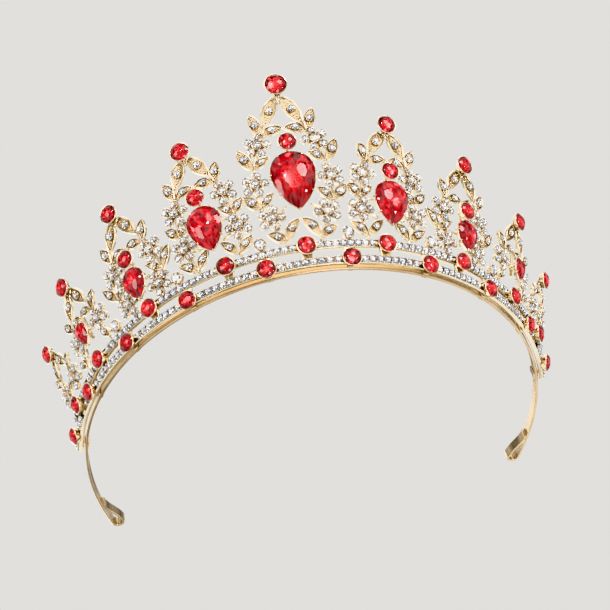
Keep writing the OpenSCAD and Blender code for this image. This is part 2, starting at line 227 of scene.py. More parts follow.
class Build:
    """Collects closed shells, in millimetres, into one mesh."""

    def __init__(self):
        self.v, self.f, self.mat, self.smooth, self.tone = [], [], [], [], []

    def add(self, pts, faces, mat=0, smooth=True, tone=0.5):
        k = len(self.v)
        self.v.extend([tuple(p) for p in pts])
        for f in faces:
            self.f.append([i + k for i in f])
            self.mat.append(mat)
            self.smooth.append(smooth)
            self.tone.append(tone)

    def rings(self, rings, mat=0, smooth=True, cap=True, tone=0.5, sides=None):
        """A shell through closed rings, capped at both ends. sides gives a material for each side."""
        n, first = len(rings[0]), len(self.mat)
        pts = [p for ring in rings for p in ring]
        faces = []
        for a in range(len(rings) - 1):
            for i in range(n):
                j = (i + 1) % n
                faces.append([a * n + i, a * n + j, (a + 1) * n + j, (a + 1) * n + i])
        if cap:
            faces.append(list(range(n))[::-1])
            last = (len(rings) - 1) * n
            faces.append([last + i for i in range(n)])
        self.add(pts, faces, mat, smooth, tone)
        if sides:
            for i in range(n * (len(rings) - 1)):
                self.mat[first + i] = sides[i % n]

    def make(self, name, materials, angle=38):
        mesh = bpy.data.meshes.new(name)
        mesh.from_pydata([[c * MM for c in p] for p in self.v], [], self.f)
        for m in materials:
            mesh.materials.append(m)
        mesh.polygons.foreach_set("material_index", self.mat)
        mesh.polygons.foreach_set("use_smooth", self.smooth)
        mesh.update()
        mesh.set_sharp_from_angle(angle=math.radians(angle))
        mesh.attributes.new("tone", "FLOAT", "FACE").data.foreach_set("value", self.tone)
        obj = bpy.data.objects.new(name, mesh)
        bpy.context.scene.collection.objects.link(obj)
        return obj


# ---------------------------------------------------------------- shapes
# Material slots of a stone, of a casting, and the foil's darkest tone, used for the painted dark centre of
# small stones
STONE, FOIL = 0, 1
CAST, FLOOR = 0, 1
PAINTED_DARK_TONE = -1.0
# Leaves wider than this carry the larger stone and grain
WIDE_LEAF = 2.9


def circle(r, n, start=0.0):
    angles = [start + 2 * math.pi * i / n for i in range(n)]
    return [(r * math.cos(a), r * math.sin(a)) for a in angles]


def pear(r, d, n):
    """Pear outline of n points about the head's centre, its point d below, starting at the top."""
    c = (d * d - r * r) / (2 * r)
    out = []
    for i in range(n):
        a = 2 * math.pi * i / n
        dx, dy = math.sin(a), math.cos(a)
        if dy >= 0:
            q = r
        else:
            # ray against the arc on that side, whose centre lies c beyond the middle
            b = -abs(dx) * c
            q = b + math.sqrt(max(0.0, b * b + (c + r) ** 2 - c * c))
        out.append((-q * dx, q * dy))
    return out


def offset(outline, d):
    """The outline moved outward by d along each point's normal."""
    n = len(outline)
    out = []
    for i in range(n):
        ax, ay = outline[i - 1]
        bx, by = outline[(i + 1) % n]
        tx, ty = bx - ax, by - ay
        length = math.hypot(tx, ty)
        out.append((outline[i][0] + ty / length * d, outline[i][1] - tx / length * d))
    return out


def gem(b, place, outline, r, z, up=0.36, down=0.6, table=0.56, centre=(0, 0), tone=0.5, dot=0.0):
    """Faceted stone. Above are table, star, kite and girdle facets, below are foiled facets to a point."""
    n2 = len(outline)
    n = n2 // 2
    cx, cy = centre
    edge, mid_k, mid_up, pave_k, pave_down = 0.07, 0.82, 0.55, 0.42, 0.66

    def ring(k, height, picks):
        points = [outline[i] for i in picks]
        return [(cx + (x - cx) * k, cy + (y - cy) * k, z + height * r) for x, y in points]

    girdle = ring(1.0, 0.0, range(n2))
    lower = ring(1.0, -edge, range(n2))
    mids = ring(mid_k, up * mid_up, range(1, n2, 2))
    tops = ring(table, up, range(0, n2, 2))
    paves = ring(pave_k, -edge - (down - edge) * pave_down, range(1, n2, 2))
    tip = (cx, cy, z - down * r)
    pts = girdle + lower + mids + tops + paves + [tip]
    g, lo, m, t, p, c = 0, n2, 2 * n2, 2 * n2 + n, 2 * n2 + 2 * n, 2 * n2 + 3 * n
    crown, pavilion = [[t + i for i in range(n)]], []
    for j in range(n):
        k = (j + 1) % n
        crown.append([t + k, t + j, m + j])
        crown.append([t + j, m + j - 1 if j else m + n - 1, g + 2 * j, m + j])
        crown.append([m + j, g + 2 * j, g + 2 * j + 1])
        crown.append([m + j, g + 2 * j + 1, g + (2 * j + 2) % n2])
        pavilion.append([c, p + j, lo + 2 * j, p + (j - 1) % n])
        pavilion.append([p + j, lo + 2 * j + 1, lo + 2 * j])
        pavilion.append([p + j, lo + (2 * j + 2) % n2, lo + 2 * j + 1])
    for i in range(n2):
        pavilion.append([g + i, lo + i, lo + (i + 1) % n2, g + (i + 1) % n2])
    k = len(b.v)
    b.add(place(pts), crown, STONE, False, tone)
    for f in pavilion:
        b.f.append([i + k for i in f])
        b.mat.append(FOIL)
        b.smooth.append(False)
        b.tone.append(min(1.0, max(0.0, 0.3 + 0.4 * tone + rng.uniform(-0.4, 0.4))))
    if dot:
        # A dark flat ends the point of a small stone: painted shade for the dark centre that a stone shows
        # through its table
        flat = [(cx + x, cy + y) for x, y in circle(dot * r, 8)]
        high, low = z - down * r + 0.3 * r, z - down * r + 0.2 * r
        b.rings([place([(x, y, h) for x, y in flat]) for h in (low, high)], FOIL, False, True, PAINTED_DARK_TONE)


def setting(b, place, outline, base, top, wall=CUP_WALL, taper=0.25, lip=0.05):
    """Cup round a stone: tapered foot, rolled rim, and a pocket with a floor."""
    h = top - base
    outside = [(wall - taper - 0.2, base), (wall - taper, base + 0.1 * h),
               (wall - 0.5 * taper, base + 0.5 * h), (wall, top - 0.2)]
    rim = [(wall - 0.04, top - 0.06), (wall * 0.5, top), (0.0, top - 0.03), (-lip, top - 0.12)]
    pocket = [(-lip - 0.05, top - 0.35), (-lip - 0.5 * taper - 0.28, base + 0.4 * h)]
    profile = outside + rim + pocket
    rings = [place([(x, y, z) for x, y in offset(outline, d)]) for d, z in profile]
    b.rings(rings)


def dome(b, place, r, rise, x=0.0, y=0.0, z=0.0, sides=8, stretch=1.0, spin=0.0):
    """Small rounded bead, sunk below its seat."""
    rings = []
    for k, q in [(1.0, -0.5), (1.0, 0.0), (0.86, 0.5), (0.5, 0.87), (0.16, 0.99)]:
        ring = []
        for i in range(sides):
            a = 2 * math.pi * i / sides
            px, py = r * k * stretch * math.cos(a), r * k * math.sin(a)
            ring.append((x + px * math.cos(spin) - py * math.sin(spin),
                         y + px * math.sin(spin) + py * math.cos(spin), z + rise * q))
        rings.append(place(ring))
    b.rings(rings)


def tube(b, path, radii, sides=8, flat=1.0):
    """Round wire along world points."""
    path = [np.asarray(p, float) for p in path]
    if not isinstance(radii, (list, tuple)):
        radii = [radii] * len(path)
    rings, up = [], None
    for i, p in enumerate(path):
        d = path[min(i + 1, len(path) - 1)] - path[max(i - 1, 0)]
        d /= np.linalg.norm(d)
        if up is None:
            up = np.cross(d, [0.3, 0.2, 0.93])
        up = up - d * np.dot(up, d)
        up /= np.linalg.norm(up)
        side = np.cross(d, up)
        rings.append([p + radii[i] * (math.cos(a) * up + flat * math.sin(a) * side)
                      for a in (2 * math.pi * k / sides for k in range(sides))])
    b.rings(rings)


def smooth_line(points, steps=6):
    """Catmull-Rom line through points of any dimension."""
    p = [np.asarray(q, float) for q in points]
    p = [2 * p[0] - p[1]] + p + [2 * p[-1] - p[-2]]
    out = []
    for i in range(1, len(p) - 2):
        for k in range(steps):
            t = k / steps
            out.append(0.5 * (2 * p[i] + (p[i + 1] - p[i - 1]) * t
                              + (2 * p[i - 1] - 5 * p[i] + 4 * p[i + 1] - p[i + 2]) * t * t
                              + (3 * p[i] - p[i - 1] - 3 * p[i + 1] + p[i + 2]) * t ** 3))
    out.append(p[-2])
    return out


def claws(b, place, r, z, n, start=0.0, size=0.17, reach=0.16):
    """Small prongs that grip a round stone's edge."""
    for i in range(n):
        a = start + 2 * math.pi * i / n
        ca, sa = math.cos(a), math.sin(a)
        line = [(r + 0.12, z - 0.7), (r + 0.14, z - 0.1), (r + 0.05, z + 0.16), (r - reach, z + 0.24)]
        tube(b, place([(q * ca, q * sa, h) for q, h in line]), [size, size, size * 0.95, size * 0.55], 6)


def brick(b, place, size, centre=(0, 0, 0), edge=0.12, top=1.0):
    """Block with chamfered edges. top narrows its upper end."""
    sx, sy, sz = (q / 2 for q in size)
    rings = []
    for y, inset in [(-sy, edge), (-sy + edge, 0), (sy - edge, 0), (sy, edge)]:
        k = 1.0 if y < 0 else top
        x, z, e = (sx - inset) * k, sz - inset, edge
        ring = [(x - e, z), (-x + e, z), (-x, z - e), (-x, -z + e),
                (-x + e, -z), (x - e, -z), (x, -z + e), (x, z - e)]
        rings.append(place([(centre[0] + px, centre[1] + y, centre[2] + pz) for px, pz in ring][::-1]))
    b.rings(rings)


def small_stone(gold, stones, place, r, z, sides=8, prongs=4, spin=0.0):
    """A clear chaton in a small clawed cup."""
    tone = rng.random()
    turn = spin + rng.uniform(-0.3, 0.3)
    gem(stones, place, circle(r, 2 * sides, turn), r, z, up=0.42, down=0.62, tone=tone, dot=0.2)
    setting(gold, place, circle(r, 16), z - 1.0, z + 0.08, wall=0.17, taper=0.1, lip=0.02)
    claws(gold, place, r, z, prongs, start=math.pi / 4 + spin, size=0.15)


def leaf(gold, stones, s, m, spec):
    """Cast leaf: raised rounded rim, sunken floor, grain beads, and a clear stone in the middle."""
    x0, h0, x1, h1, width, bow = spec
    foot, tip = np.array([x0, h0]), np.array([x1, h1])
    along = (tip - foot) / np.linalg.norm(tip - foot)
    across = np.array([-along[1], along[0]])
    steps, rim, thinnest = 24, 0.34, 0.13
    wide = width > WIDE_LEAF

    def mid(u):
        return foot + (tip - foot) * u + across * bow * 4 * u * (1 - u)

    def half(u):
        return max(thinnest, width / 2 * (4 * u * (1 - u)) ** 0.82 * (1.06 - 0.22 * (u - 0.4)))

    def lifted(u):
        return 0.32 * math.sin(math.pi * u)

    rings = []
    for i in range(steps + 1):
        u = 0.004 + 0.992 * i / steps
        a, c = max(0.0, u - 0.02), min(1.0, u + 0.02)
        d = mid(c) - mid(a)
        d /= np.linalg.norm(d)
        nrm = np.array([d[1], -d[0]])
        hw, p, up = half(u), mid(u), lifted(u)
        inner = max(0.0, hw - rim)
        deep = min(1.0, inner / 0.35)
        crest = 0.1 + 0.06 * min(1.0, hw)
        floor = crest - 0.55 * deep
        side = [(hw - 0.04, -0.82), (hw, -0.3), (hw, crest - 0.24), (hw - 0.06 * min(1, hw), crest - 0.07),
                (max(hw - 0.16, 0.5 * hw), crest), (max(hw - 0.27, 0.3 * hw), crest - 0.07 * deep),
                (max(inner, 0.14 * hw), floor + 0.05 * deep), (max(inner - 0.1, 0.05 * hw), floor)]
        ring = side + [(0.0, floor + 0.03)] + [(-q, z) for q, z in side[::-1]] + [(0.0, -0.9)]
        rings.append([cone(s, m * (p[0] + nrm[0] * q), p[1] + nrm[1] * q, z + up) for q, z in ring][::m])
    n = len(rings[0])
    # The sunken floor and its inner walls take the darker gold: painted shade
    sides = [FLOOR if 5 <= i <= 10 else CAST for i in range(n)]
    gold.rings(rings[::-1], sides=sides if m > 0 else [sides[(n - 2 - i) % n] for i in range(n)])
    angle = math.atan2(along[1], m * along[0])
    c = mid(0.5)
    place = Place(s, m * c[0], c[1], lifted(0.5))
    r = 1.04 if wide else 0.9
    gem(stones, place, circle(r, 16, angle), r, 0.2, up=0.42, down=0.5, tone=rng.random(), dot=0.2)
    setting(gold, place, circle(r, 16), -0.6, 0.22, wall=0.12, taper=0.05, lip=0.02)
    claws(gold, place, r, 0.18, 4, start=angle + math.pi / 4, size=0.13)
    # Grain beads on the floor, as shares of the leaf's length and of its half width
    grain = 0.27 if wide else 0.22
    for u, q in [(0.2, 0.0), (0.29, 0.3), (0.29, -0.3), (0.71, 0.3), (0.71, -0.3), (0.8, 0.0), (0.88, 0.0)]:
        hw = half(u)
        if hw < 0.55:
            continue
        p = mid(u) + across * q * (hw - rim)
        dome(gold, Place(s, m * p[0], p[1], lifted(u)), grain, grain * 1.1, z=-0.32, sides=7)


def flower(gold, stones, s, m, x, h):
    """Five clawed stones round a raised middle one, on a cast star."""
    heart = Place(s, m * x, h, 0.12)
    petals, first, tilt = 5, 36, 0.14
    dome(gold, heart, 1.7, 0.5, z=-0.9, sides=14)
    small_stone(gold, stones, heart, PETAL_R, 0.34)
    for i in range(petals):
        a = math.radians(first + 360 / petals * i)
        px, ph = x + PETAL_RING * math.cos(a), h + PETAL_RING * math.sin(a)
        place = Place(s, m * px, ph, 0.0, pitch=-tilt * math.sin(a), roll=tilt * m * math.cos(a))
        small_stone(gold, stones, place, PETAL_R - 0.03, 0.16, spin=a * m)
        inner, outer = (cone(s, m * (x + k * math.cos(a)), h + k * math.sin(a), -0.72)
                        for k in (0.4, 2.4))
        tube(gold, [inner, (inner + outer) / 2, outer], [0.5, 0.42, 0.36], 7)


# ---------------------------------------------------------------- materials
def nodes_of(name):
    """A new material, its node tree and its main shader."""
    mat = bpy.data.materials.new(name)
    mat.use_nodes = True
    tree = mat.node_tree
    return mat, tree, tree.nodes["Principled BSDF"]


def gold_material(name, light, dark, rough, grain, scale, crevice_shade=True):
    """Champagne gold plate: slight colour drift, worn polish, fine grain, and painted shade that turns it
    darker and warmer brown in its recesses.
    """
    mat, tree, shader = nodes_of(name)
    add, link = tree.nodes.new, tree.links.new
    coord = add("ShaderNodeTexCoord")
    drift = add("ShaderNodeTexNoise")
    drift.inputs["Scale"].default_value = 140
    drift.inputs["Detail"].default_value = 5
    link(coord.outputs["Object"], drift.inputs["Vector"])
    ramp = add("ShaderNodeValToRGB")
    ramp.color_ramp.elements[0].position, ramp.color_ramp.elements[1].position = 0.32, 0.68
    ramp.color_ramp.elements[0].color, ramp.color_ramp.elements[1].color = (*dark, 1), (*light, 1)
    link(drift.outputs["Fac"], ramp.inputs["Fac"])
    colour = ramp.outputs["Color"]
    if crevice_shade:
        # Painted shade: ambient occlusion darkens the colour to warm brown in recesses and crevices
        occlusion = add("ShaderNodeAmbientOcclusion")
        occlusion.samples = 6
        occlusion.inputs["Distance"].default_value = 0.0011
        shade = add("ShaderNodeValToRGB")
        shade.color_ramp.elements[0].position, shade.color_ramp.elements[1].position = 0.25, 0.8
        shade.color_ramp.elements[0].color = (0.42, 0.24, 0.11, 1)
        shade.color_ramp.elements[1].color = (1, 1, 1, 1)
        link(occlusion.outputs["AO"], shade.inputs["Fac"])
        mix = add("ShaderNodeMix")
        mix.data_type, mix.blend_type = "RGBA", "MULTIPLY"
        mix.inputs["Factor"].default_value = 0.8
        link(colour, mix.inputs["A"])
        link(shade.outputs["Color"], mix.inputs["B"])
        colour = mix.outputs["Result"]
    link(colour, shader.inputs["Base Color"])
    wear = add("ShaderNodeTexNoise")
    wear.inputs["Scale"].default_value = scale
    wear.inputs["Detail"].default_value = 6
    link(coord.outputs["Object"], wear.inputs["Vector"])
    spread = add("ShaderNodeMapRange")
    spread.inputs["To Min"].default_value = rough * 0.65
    spread.inputs["To Max"].default_value = rough * 1.5
    link(wear.outputs["Fac"], spread.inputs["Value"])
    link(spread.outputs["Result"], shader.inputs["Roughness"])
    fine = add("ShaderNodeTexNoise")
    fine.inputs["Scale"].default_value = 3200
    fine.inputs["Detail"].default_value = 3
    link(coord.outputs["Object"], fine.inputs["Vector"])
    bump = add("ShaderNodeBump")
    bump.inputs["Strength"].default_value = grain
    bump.inputs["Distance"].default_value = 0.00006
    link(fine.outputs["Fac"], bump.inputs["Height"])
    link(bump.outputs["Normal"], shader.inputs["Normal"])
    shader.inputs["Metallic"].default_value = 1.0
    return mat


def tone_ramp(tree, low, high):
    """Colour from each facet's own tone."""
    tone = tree.nodes.new("ShaderNodeAttribute")
    tone.attribute_name = "tone"
    ramp = tree.nodes.new("ShaderNodeValToRGB")
    ramp.color_ramp.elements[0].color, ramp.color_ramp.elements[1].color = (*low, 1), (*high, 1)
    tree.links.new(tone.outputs["Fac"], ramp.inputs["Fac"])
    return ramp.outputs["Color"]


def glass_material(name, low, high, ior, rough, shine=0.5):
    """Clear or coloured glass, a little different on each stone."""
    mat, tree, shader = nodes_of(name)
    tree.links.new(tone_ramp(tree, low, high), shader.inputs["Base Color"])
    shader.inputs["Transmission Weight"].default_value = 1.0
    shader.inputs["IOR"].default_value = ior
    shader.inputs["Specular IOR Level"].default_value = shine
    shader.inputs["Roughness"].default_value = rough
    return mat


def foil_material(name, low, high, rough, mirror):
    """Mirror foil behind a stone, a little different on each facet."""
    mat, tree, shader = nodes_of(name)
    tree.links.new(tone_ramp(tree, low, high), shader.inputs["Base Color"])
    shader.inputs["Metallic"].default_value = mirror
    coord = tree.nodes.new("ShaderNodeTexCoord")
    cloud = tree.nodes.new("ShaderNodeTexNoise")
    cloud.inputs["Scale"].default_value = 900
    tree.links.new(coord.outputs["Object"], cloud.inputs["Vector"])
    spread = tree.nodes.new("ShaderNodeMapRange")
    spread.inputs["To Min"].default_value = rough * 0.4
    spread.inputs["To Max"].default_value = rough * 1.8
    tree.links.new(cloud.outputs["Fac"], spread.inputs["Value"])
    tree.links.new(spread.outputs["Result"], shader.inputs["Roughness"])
    return mat


GOLD_CAST = gold_material("cast_gold", (0.93, 0.84, 0.66), (0.77, 0.67, 0.47), 0.18, 0.35, 700)
# Leaf floors: rough grained gold, its darker colour painted shade for the sunken floors and their inner
# walls
GOLD_SHADED_FLOOR = gold_material("grained_shaded_gold", (0.54, 0.45, 0.30), (0.32, 0.24, 0.14), 0.34, 1.0, 700)
GOLD_CUP = gold_material("cup_gold", (0.93, 0.80, 0.58), (0.82, 0.66, 0.43), 0.17, 0.12, 500)
# Painted shade: the strip's gold is darker, as the strip lies in shadow and mirrors dark surroundings
GOLD_SHADED_STRIP = gold_material("shaded_strip_gold", (0.62, 0.48, 0.30), (0.49, 0.36, 0.21), 0.22, 0.15, 260,
                           crevice_shade=False)
CRYSTAL = [glass_material("clear_crystal", (0.93, 0.95, 1.0), (1.0, 0.99, 0.98), 1.54, 0.01),
           foil_material("clear_foil", (0.40, 0.41, 0.44), (1.0, 1.0, 1.0), 0.06, 0.8)]
RUBY = [glass_material("red_crystal", (0.84, 0.006, 0.016), (0.97, 0.022, 0.036), 1.56, 0.01, 0.12),
        foil_material("red_foil", (0.26, 0.12, 0.13), (1.0, 0.95, 0.95), 0.08, 0.65)]


def finish_piece(build, name, materials, nodes, body="front"):
    """Makes the piece, ties it to its body, and hides the CAD parts that it stands for."""
    obj = build.make(name, materials)
    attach(obj, body)
    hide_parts(*nodes)


# ---------------------------------------------------------------- rails
def level(s):
    """Height of the lower rail's middle line: the face's zero line."""
    return 0.0


def rail(height, end):
    """Rail with a rounded rim along both edges and a channel for its stones."""
    b = Build()
    half, back = RAIL_W / 2, RAIL_FRONT - RAIL_T
    side = [(half - 0.1, back), (half, back + 0.12), (half, -0.1), (half - 0.03, -0.03), (half - 0.1, 0.0),
            (half - 0.17, -0.04), (half - 0.2, -0.15), (half - 0.22, -0.5)]
    section = side + [(-q, z) for q, z in side[::-1]]
    steps = 180
    rings = []
    for i in range(steps + 1):
        s = end * (2 * i / steps - 1)
        rings.append([cone(s, 0, height(s) + q, z) for q, z in section])
    b.rings(rings)
    return b


def spread(start, stop, pitch):
    """Even steps from start to stop, as near to the pitch as they come."""
    n = max(1, round((stop - start) / pitch))
    return [start + (stop - start) * i / n for i in range(n + 1)]


def rail_row(gold, stones, height, start, stop):
    """Row of rounded square stones close together, with grains between them along both edges."""
    row = spread(start, stop, ROW_PITCH)
    narrow, square, tilt, r = 0.88, 0.72, 0.05, ROW_R
    for s in row:
        place = Place(s, 0, height(s), 0.0, pitch=rng.uniform(-tilt, tilt), roll=rng.uniform(-tilt, tilt))
        outline = [(narrow * r * math.copysign(abs(x) ** square, x), r * math.copysign(abs(y) ** square, y))
                   for x, y in circle(1, 16, rng.uniform(-0.15, 0.15))]
        gem(stones, place, outline, r, 0.1, up=0.42, down=0.5, tone=rng.random(), dot=0.18)
    for a, c in zip(row, row[1:]):
        s = (a + c) / 2
        for k in (-1, 1):
            place = Place(s, 0, height(s) + k * 0.86, 0.02)
            line = [(0, k * 0.16, -0.3), (0, k * 0.12, 0.16), (0, -k * 0.1, 0.32), (0, -k * 0.26, 0.3)]
            tube(gold, place(line), [0.19, 0.2, 0.17, 0.09], 6)


lower_gold, upper_gold = rail(level, RAIL_END), rail(upper_h, UPPER_END)
lower_stones, upper_stones = Build(), Build()
# Each row stops clear of the cups, and the outermost upper cups reach down over the lower rail
clear = RED_R + CUP_WALL + ROW_ROOM
outer_s = UPPER_RED_S[4]
stops = [-q for q in LOWER_RED_S[::-1]] + LOWER_RED_S
for a, c in zip(stops, stops[1:]):
    if abs((a + c) / 2) > outer_s - 2 and a * c > 0:
        near, far = sorted((abs(a), abs(c)))
        m = 1 if a > 0 else -1
        for p, q in [(near + clear, outer_s - clear), (outer_s + clear, far - clear)]:
            lo, hi = sorted((m * p, m * q))
            rail_row(lower_gold, lower_stones, level, lo, hi)
    else:
        rail_row(lower_gold, lower_stones, level, a + clear, c - clear)
for s in END_CRYSTAL_S:
    for m in (-1, 1):
        place = Place(m * s, 0, 0)
        gem(lower_stones, place, circle(END_R, 16), END_R, 0.06, up=0.42, down=0.5, tone=rng.random())
        claws(lower_gold, place, END_R - 0.02, 0.02, 4, start=math.pi / 4, size=0.15)
# The upper row also leaves room for the lower cups where the rails run close together
close_s = LOWER_RED_S[3]
close_gap = math.sqrt((RED_R + CUP_WALL + 1.0) ** 2 - upper_h(close_s) ** 2)
starts = [s + clear for s in UPPER_RED_S] + [close_s + close_gap]
ends = [s - clear for s in UPPER_RED_S[1:4]] + [close_s - close_gap, UPPER_END - 1.1, outer_s - clear]
for a, c in zip(starts, ends):
    rail_row(upper_gold, upper_stones, upper_h, a, c)
    rail_row(upper_gold, upper_stones, upper_h, -c, -a)
finish_piece(lower_gold, "lower_rail_cast", [GOLD_CAST], ["lower_rail"])
finish_piece(upper_gold, "upper_rail_cast", [GOLD_CAST], ["upper_rail"])
finish_piece(lower_stones, "lower_rail_stones", CRYSTAL, ["lower_rail_crystals"])
finish_piece(upper_stones, "upper_rail_stones", CRYSTAL, ["upper_rail_crystals"])

links = Build()
for s in UPPER_RED_S[:4] + LOWER_RED_S[:3]:
    for m in ([1] if s == 0 else [-1, 1]):
        low, high = RAIL_W / 2 - 0.05, upper_h(s) - RAIL_W / 2 + 0.05
        place = Place(m * s, 0, (low + high) / 2, -0.75)
        brick(links, place, (2.3, high - low, 1.0), edge=0.14, top=1.35)
finish_piece(links, "rail_posts", [GOLD_CAST], ["rail_links"])


# ---------------------------------------------------------------- red stones
def red_round(stones, place, r, z):
    """Round red stone whose girdle sits just over height z."""
    outline = circle(r + 0.13, 16, rng.uniform(-0.2, 0.2))
    gem(stones, place, outline, r, z + 0.16, up=0.36, down=0.62, table=0.48, tone=rng.uniform(0.25, 0.9))


def red_cup(gold, place, r, base=0.0, lugs=(0.0, math.pi)):
    """Cup that narrows below its rim, with a rounded lug at each angle in lugs."""
    setting(gold, place, circle(r + 0.15, 40), base, base + CUP_DEPTH, wall=CUP_WALL - 0.12, taper=0.8,
            lip=0.0)
    reach = r + CUP_WALL + 0.12
    for a in lugs:
        x, y = reach * math.cos(a), reach * math.sin(a)
        dome(gold, place, 0.42, 0.5, x, y, base + 0.75, sides=10)
        tube(gold, place([(x, y, base + 0.1), (x, y, base + 0.9)]), [0.4, 0.42], 10)


# The last lower cup on each side has no lug where the two end stones follow it
cups, reds = Build(), Build()
tilt = 0.03
for i, s in enumerate(LOWER_RED_S):
    for m in (-1, 1):
        roll, pitch = rng.uniform(-tilt, tilt), rng.uniform(-tilt, tilt)
        place = Place(m * s, 0, 0, RAIL_FRONT, roll=roll, pitch=pitch)
        outer = () if i == 4 else ((0.0,) if m > 0 else (math.pi,))
        inner = (math.pi,) if m > 0 else (0.0,)
        red_cup(cups, place, RED_R, lugs=outer + inner)
        red_round(reds, place, RED_R, RED_SEAT)
finish_piece(cups, "lower_settings", [GOLD_CUP], ["lower_cups"])
finish_piece(reds, "lower_reds", RUBY, ["lower_red_stones"])
cups, reds = Build(), Build()
drop = 0.35
for s in UPPER_RED_S:
    for m in ([1] if s == 0 else [-1, 1]):
        place = Place(m * s, 0, upper_h(s) - drop, RAIL_FRONT, roll=rng.uniform(-tilt, tilt))
        red_cup(cups, place, RED_R)
        red_round(reds, place, RED_R, RED_SEAT)
finish_piece(cups, "upper_settings", [GOLD_CUP], ["upper_cups"])
finish_piece(reds, "upper_reds", RUBY, ["upper_red_stones"])

cups, stones = Build(), Build()
for s in FOOT_S:
    for m in (-1, 1):
        place = Place(m * s, 0, rail_top(s) + 2.0, 0)
        gem(stones, place, circle(FOOT_R, 20, 0.1), FOOT_R, 0.4, up=0.4, down=0.6, tone=rng.random())
        setting(cups, place, circle(FOOT_R, 28), -1.0, 0.42, wall=0.2, taper=0.1, lip=0.02)
        claws(cups, place, FOOT_R, 0.36, 8, start=0.2, size=0.18)
finish_piece(cups, "foot_settings", [GOLD_CUP], ["foot_cups"])
finish_piece(stones, "foot_stones", CRYSTAL, ["foot_crystals"])


# ---------------------------------------------------------------- peaks
def foliage(gold, stones, s, a, out):
    """Leaves, flowers and stems of both halves, and the leaves that only the outer half has."""
    arch = LEAVES[a][0]
    arch = (arch[0] - 0.45, arch[1] + 0.5) + arch[2:]
    for m in (-1, 1):
        for spec in [arch] + LEAVES[a][1:]:
            leaf(gold, stones, s, m, spec)
        for x, h in FLOWERS[a]:
            flower(gold, stones, s, m, x, h)
        # The rail falls away outward, so the outer stems of the outer peaks reach further down
        foot_x, foot_h = STEMS[a][0]
        rest_h = rail_top(s + m * foot_x) + 0.4
        line = smooth_line(STEMS[a])
        if rest_h < foot_h - 0.1:
            line = [np.array([foot_x, rest_h])] + line
        tube(gold, [cone(s, m * x, h, -0.62) for x, h in line], 0.42, 8)
    for spec in OUTER_LEAVES[a]:
        leaf(gold, stones, s, out, spec)


def backing(gold, s, a):
    """Bars that carry the pear and the hanging stone, and the prongs that point at the pear."""
    if a < 4:
        head, reach = PEAR_TOP[a] - PEAR_R[a], STEMS[a][2][0]
        tube(gold, [cone(s, x, head, -0.75) for x in np.linspace(-reach, reach, 11)], 0.4, 8)
        spine_top = HANG_H[a] + 4.5 if a < 3 else PEAR_TOP[a] + 2.2
        spine = np.linspace(PEAR_TIP[a] + 2.2, spine_top, 12)
        tube(gold, [cone(s, 0, h, -0.75) for h in spine], 0.45, 8)
    else:
        reach, bar_h = STEMS[a][1]
        tube(gold, [cone(s, x, bar_h, -0.6) for x in np.linspace(-reach, reach, 9)], 0.5, 8)
    for x0, h0, x1, h1 in PRONGS[a]:
        for m in (-1, 1):
            line = [cone(s, m * (x0 + (x1 - x0) * u), h0 + (h1 - h0) * u, 0.1 + 0.5 * u)
                    for u in (0, 0.3, 0.6, 0.85, 1)]
            tube(gold, line, [0.3, 0.5, 0.55, 0.35, 0.12], 8)


def neck(gold, s, a):
    """Neck of the ball: two strands that run outside the arch, a bead under its apex, and a core."""
    low, top = LEAVES[a][0][1], BALL_H[a] - BALL_R[a]
    x0, h0, x1, h1, width = LEAVES[a][0][:5]
    edge = 0.5 * width + 0.12
    far = math.hypot(x1 - x0, h1 - h0)
    ox, oh = (h0 - h1) / far * edge, (x1 - x0) / far * edge
    mid = ((x0 + x1) / 2 + ox, (h0 + h1) / 2 + oh)
    line = smooth_line([(0.8, top + 0.5), (0.55, top - 0.1), (x0 + 0.55 * ox, h0 + 0.35 * oh), mid,
                        (x1 + 0.4 * ox, h1 + 0.4 * oh), STEMS[a][-2]], 6)
    for m in (-1, 1):
        tube(gold, [cone(s, m * x, h, 0.05) for x, h in line], 0.27, 8)
    dome(gold, Place(s, 0, low - 1.2, 0.1), 0.42, 0.5, sides=9)
    core = (low - 1.0, low + 0.2, top + 0.4, BALL_H[a])
    tube(gold, [cone(s, 0, h, -0.35) for h in core], [0.3, 0.55, 0.7, 0.8], 10)


def hanging_stone(cups, reds, s, a):
    """Round red stone on a post, in front of the casting."""
    post = Place(s, 0, HANG_H[a], 0)
    tube(cups, post([(0, 0, -0.4), (0, 0, LIFT + 0.2)]), 1.05, 16)
    red_cup(cups, post, RED_R, base=LIFT, lugs=())
    red_round(reds, post, RED_R, LIFT + RED_SEAT)


def pear_stone(cups, reds, s, a):
    """Pear on a post, in a tapered cup with small prongs round its edge."""
    r = PEAR_R[a]
    centre_h = PEAR_TOP[a] - r
    d = centre_h - PEAR_TIP[a]
    place = Place(s, 0, centre_h, 0)
    outline = pear(r, d, 64)
    tube(cups, place([(0, 0, -0.4), (0, 0, LIFT + 0.2)]), 1.05, 16)
    setting(cups, place, outline, LIFT, LIFT + 1.6, wall=0.2, taper=0.75, lip=0.02)
    gem(reds, place, pear(r + 0.08, d + 0.1, 20 if a < 3 else 16), r, LIFT + 1.68, up=0.3, down=0.22,
        table=0.52, centre=(0, -0.16 * d), tone=rng.uniform(0.5, 0.8))
    for i in (6, 17, 26, 32, 38, 47, 58):
        x, y = outline[i]
        q = math.hypot(x, y)
        line = [(x + k * x / q, y + k * y / q, LIFT + z)
                for k, z in [(0.12, 0.7), (0.14, 1.5), (-0.04, 1.8), (-0.36, 1.84)]]
        tube(cups, place(line), [0.22, 0.22, 0.2, 0.11], 7)


